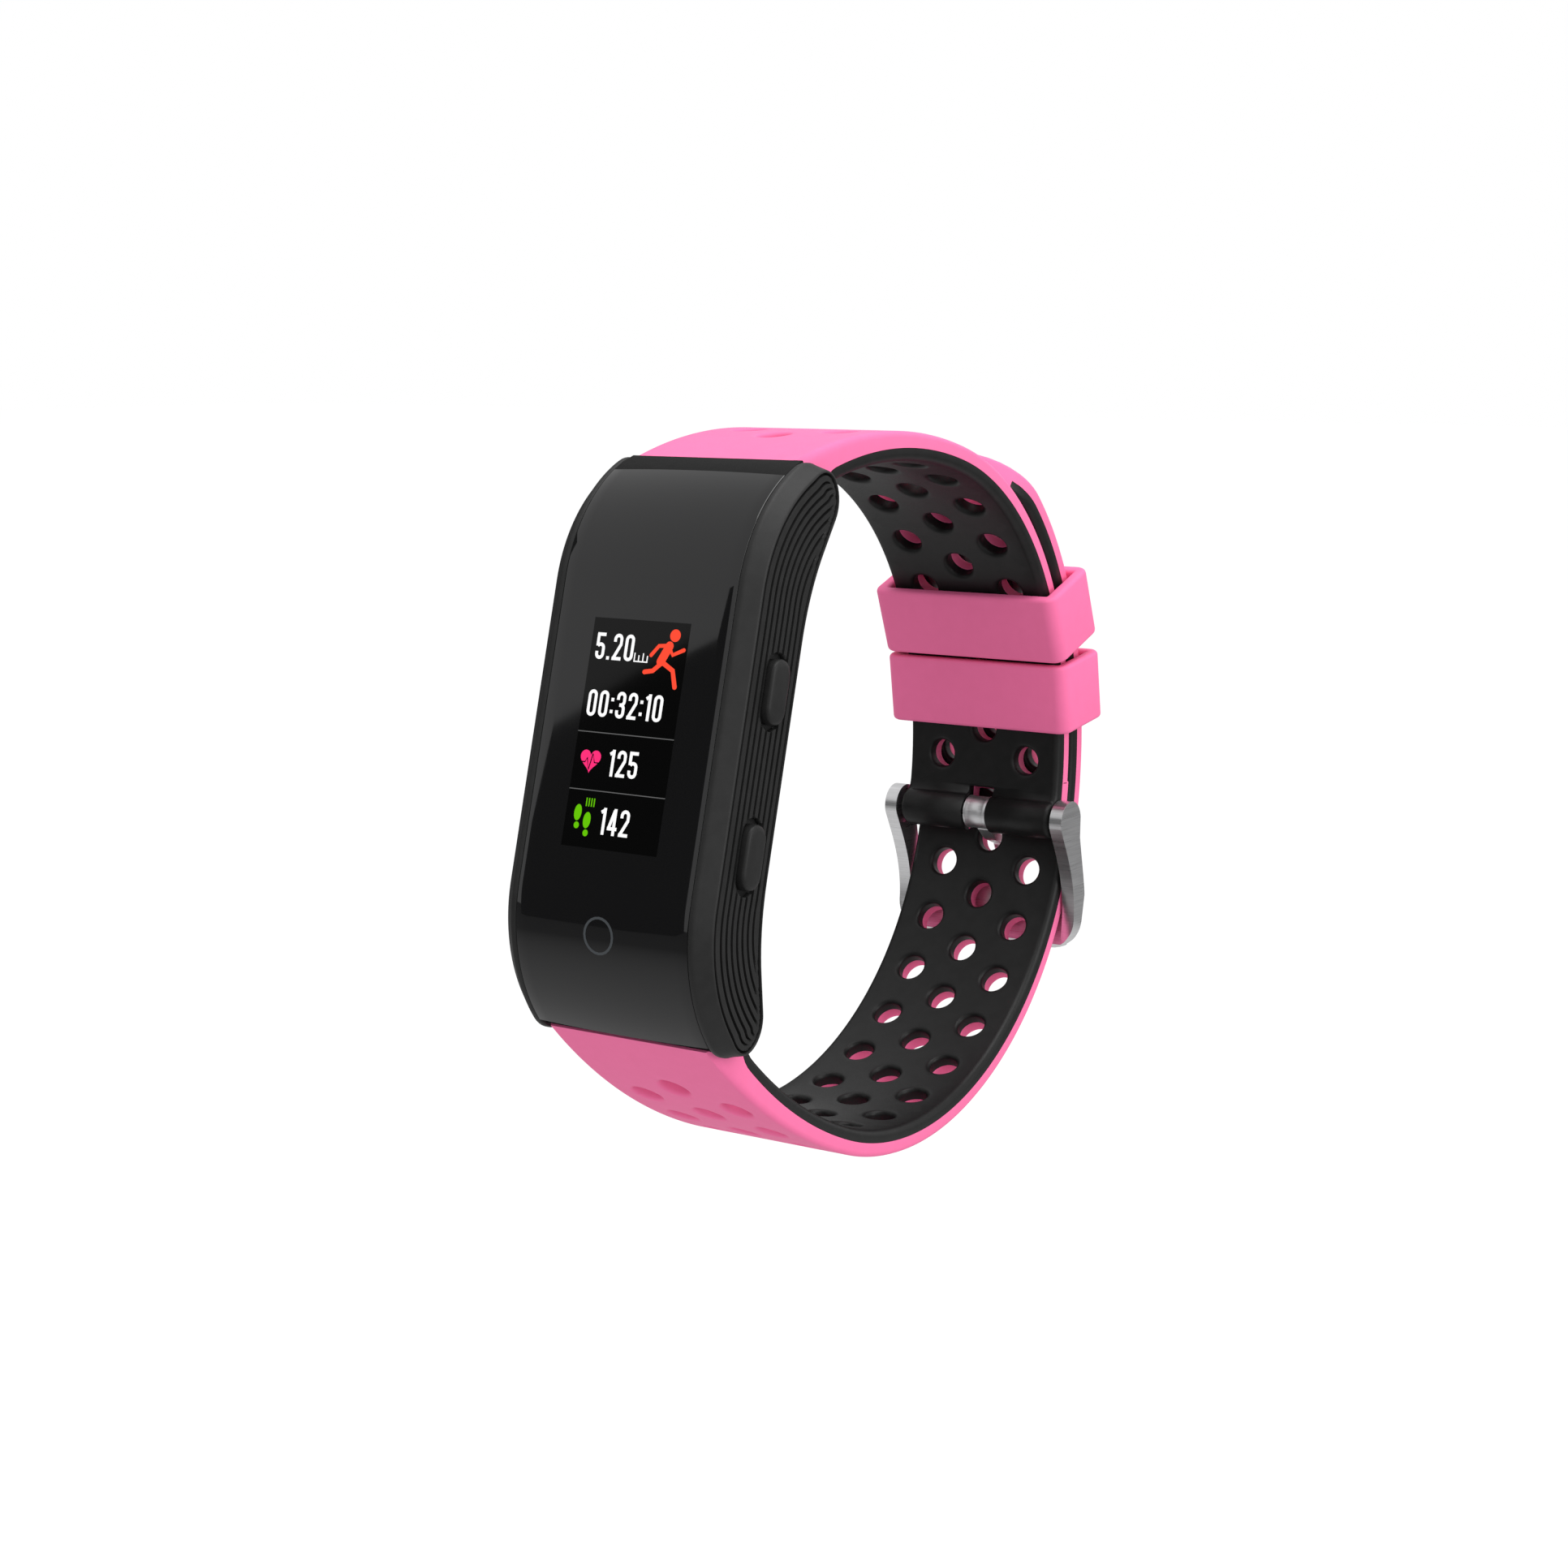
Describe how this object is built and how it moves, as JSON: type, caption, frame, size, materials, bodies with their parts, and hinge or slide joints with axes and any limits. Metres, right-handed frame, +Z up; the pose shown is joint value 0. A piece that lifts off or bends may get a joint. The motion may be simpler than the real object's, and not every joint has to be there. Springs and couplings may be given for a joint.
{
  "type": "fitness tracker band",
  "caption": "Slim wrist tracker with a curved glass case, side push buttons, and a perforated two-layer silicone strap closed by a pin buckle and sliding keepers.",
  "frame": {"origin": "middle of the wrist opening, on the band's centre plane", "axes": "+X across the band towards the side with the buttons, +Y from the display towards the buckle, +Z up; the case leans back 15.1 degrees, so the display faces -Y and a little up"},
  "size_m": [0.0231, 0.0731, 0.0695],
  "materials": {
    "pink_silicone": "matte silicone",
    "black_silicone": "matte silicone",
    "black_plastic": "fine matte moulding",
    "black_glass": "gloss, backed in black",
    "steel": "brushed and polished stainless",
    "rubber_seal": "matte",
    "green_board": "solder mask",
    "foil": "satin foil",
    "gold": "gold plated"
  },
  "bodies": {
    "case_and_strap": {"mid_case": "black_plastic", "front_lens": "black_glass", "side_trim_right": "black_plastic", "side_trim_left": "black_plastic", "rear_cover": "black_plastic", "rear_seal": "rubber_seal", "sensor_window": "black_glass", "sensor_board": "green_board", "display_panel": "black_glass", "display_bracket": "black_plastic", "main_board": "green_board", "battery": "foil", "motor_housing": "foil", "upper_button_seal": "rubber_seal", "upper_button_switch": "steel", "lower_button_seal": "rubber_seal", "lower_button_switch": "steel", "charging_contact_left": "gold", "charging_contact_right": "gold", "rear_screw_upper_left": "steel", "rear_screw_upper_right": "steel", "rear_screw_lower_left": "steel", "rear_screw_lower_right": "steel", "upper_lug_pin": "steel", "lower_lug_pin": "steel", "strap_upper_outer": "pink_silicone", "strap_upper_inner": "black_silicone", "strap_lower_outer": "pink_silicone", "strap_lower_inner": "black_silicone"},
    "vibration_rotor": {"motor_rotor": "steel"},
    "upper_push_button": {"upper_button": "black_plastic"},
    "lower_push_button": {"lower_button": "black_plastic"},
    "buckle": {"buckle_frame": "steel", "buckle_pin": "steel"},
    "tongue": {"buckle_tongue": "steel"},
    "keeper_a": {"upper_keeper": "pink_silicone"},
    "keeper_b": {"lower_keeper": "pink_silicone"}
  },
  "joints": [
    {"name": "rotor_spin", "type": "hinge", "parent": "case_and_strap", "child": "vibration_rotor", "pos_m": [0, -0.03165, 0.0017], "axis": [0, 0.9655, -0.2605], "continuous": true},
    {"name": "upper_button_press", "type": "slide", "parent": "case_and_strap", "child": "upper_push_button", "axis": [-1, 0, 0], "range_m": [0, 0.00035], "stiffness_N_per_m": 3000},
    {"name": "lower_button_press", "type": "slide", "parent": "case_and_strap", "child": "lower_push_button", "axis": [-1, 0, 0], "range_m": [0, 0.00035], "stiffness_N_per_m": 3000},
    {"name": "buckle_swing", "type": "hinge", "parent": "case_and_strap", "child": "buckle", "pos_m": [0, 0.02667, -0.00575], "axis": [1, 0, 0], "range_deg": [0, 2]},
    {"name": "tongue_lift", "type": "hinge", "parent": "buckle", "child": "tongue", "pos_m": [0, 0.02667, -0.00575], "axis": [1, 0, 0], "range_deg": [0, 2]},
    {"name": "upper_keeper_slide", "type": "hinge", "parent": "case_and_strap", "child": "keeper_a", "pos_m": [0, -0.0003, 0.00555], "axis": [1, 0, 0], "range_deg": [0, 22]},
    {"name": "lower_keeper_slide", "type": "hinge", "parent": "case_and_strap", "child": "keeper_b", "pos_m": [0, -0.01059, 0.00182], "axis": [1, 0, 0], "range_deg": [-8, 0]}
  ]
}
